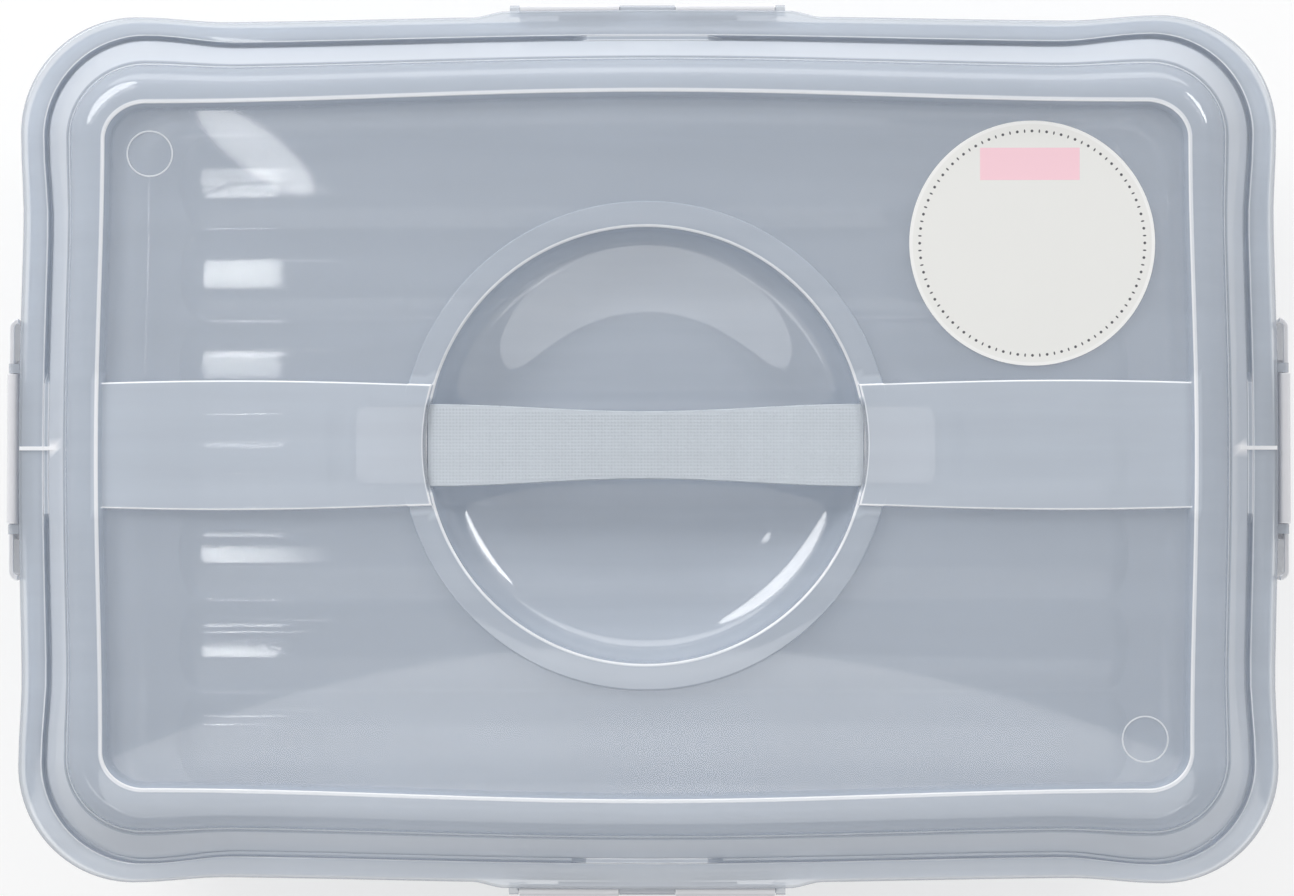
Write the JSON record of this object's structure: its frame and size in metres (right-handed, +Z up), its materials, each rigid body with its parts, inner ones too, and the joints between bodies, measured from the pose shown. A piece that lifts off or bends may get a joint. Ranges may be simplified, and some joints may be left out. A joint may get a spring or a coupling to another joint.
{
  "type": "cake carrier",
  "caption": "Rectangular frosted plastic cake carrier: deep tub, lift-off lid held by hinged side clips, and a flexible carrying strap over a round finger dish.",
  "frame": {"origin": "centre of the carrier's footprint, on the surface that it stands on", "axes": "+X along the length, +Y across the width, +Z up"},
  "size_m": [0.43, 0.298, 0.1],
  "materials": {
    "tub_plastic": "frosted translucent polypropylene, fine satin texture",
    "lid_plastic": "frosted translucent polypropylene with glossier edges",
    "clip_plastic": "clear natural polypropylene, smooth",
    "strap_plastic": "flexible translucent plastic with a fine square knurl on the grip",
    "label_paper": "printed paper sticker with a satin varnish"
  },
  "bodies": {
    "tub": {"tub": "tub_plastic"},
    "lid": {"lid_shell": "lid_plastic", "round_label": "label_paper"},
    "clip_front": {"clip_front": "clip_plastic"},
    "clip_back": {"clip_back": "clip_plastic"},
    "clip_left": {"clip_left": "clip_plastic"},
    "clip_right": {"clip_right": "clip_plastic"},
    "strap": {"strap_grip": "strap_plastic", "strap_flex_left": "strap_plastic", "strap_flex_right": "strap_plastic"},
    "strap_end_left": {"strap_tab_left": "strap_plastic"},
    "strap_end_right": {"strap_tab_right": "strap_plastic"}
  },
  "joints": [
    {"name": "lid_lift", "type": "slide", "parent": "tub", "child": "lid", "axis": [0, 0, 1], "range_m": [0, 0.15]},
    {"name": "front_clip_hinge", "type": "hinge", "parent": "lid", "child": "clip_front", "pos_m": [0, -0.147, 0.0752], "axis": [-1, 0, 0], "range_deg": [0, 110]},
    {"name": "back_clip_hinge", "type": "hinge", "parent": "lid", "child": "clip_back", "pos_m": [0, 0.147, 0.0752], "axis": [1, 0, 0], "range_deg": [0, 110]},
    {"name": "left_clip_hinge", "type": "hinge", "parent": "lid", "child": "clip_left", "pos_m": [-0.2122, 0, 0.0752], "axis": [0, 1, 0], "range_deg": [0, 110]},
    {"name": "right_clip_hinge", "type": "hinge", "parent": "lid", "child": "clip_right", "pos_m": [0.2122, 0, 0.0752], "axis": [0, -1, 0], "range_deg": [0, 110]},
    {"name": "strap_lift", "type": "slide", "parent": "lid", "child": "strap", "axis": [0, 0, 1], "range_m": [0, 0.036], "deforming": ["strap_flex_left", "strap_flex_right"]},
    {"name": "left_strap_end", "type": "slide", "parent": "lid", "child": "strap_end_left", "axis": [1, 0, 0], "range_m": [0, 0.013]},
    {"name": "right_strap_end", "type": "slide", "parent": "lid", "child": "strap_end_right", "axis": [-1, 0, 0], "range_m": [0, 0.013]}
  ],
  "couplings": [
    {"joint": "left_strap_end", "follows": "strap_lift", "ratio": 0.36},
    {"joint": "right_strap_end", "follows": "strap_lift", "ratio": 0.36}
  ]
}
